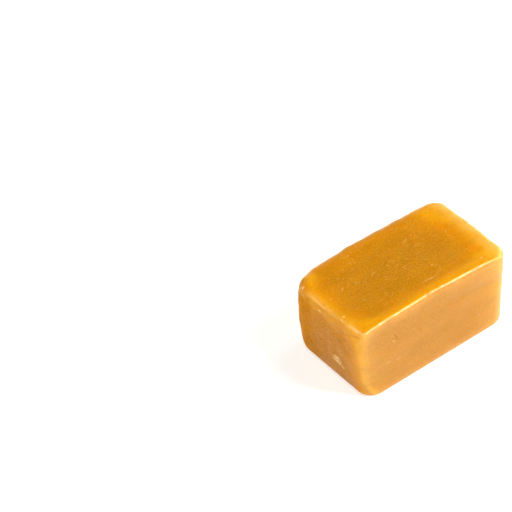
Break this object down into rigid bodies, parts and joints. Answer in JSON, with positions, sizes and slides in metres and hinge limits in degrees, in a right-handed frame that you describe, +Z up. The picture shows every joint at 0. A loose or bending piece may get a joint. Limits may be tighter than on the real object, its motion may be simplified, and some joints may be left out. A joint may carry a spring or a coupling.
{
  "type": "soft caramel",
  "caption": "Unwrapped block of soft milk caramel with rounded corners, a crisp front lip and a slightly sunken top.",
  "frame": {"origin": "middle of the bounding box in plan, on the surface that the sweet stands on", "axes": "+X along the block, front side (the one with the crisp top lip) towards -Y, +Z up"},
  "size_m": [0.0286, 0.0182, 0.0143],
  "materials": {
    "caramel": "satin, slightly translucent amber"
  },
  "bodies": {
    "root": {"caramel": "caramel"}
  },
  "joints": []
}
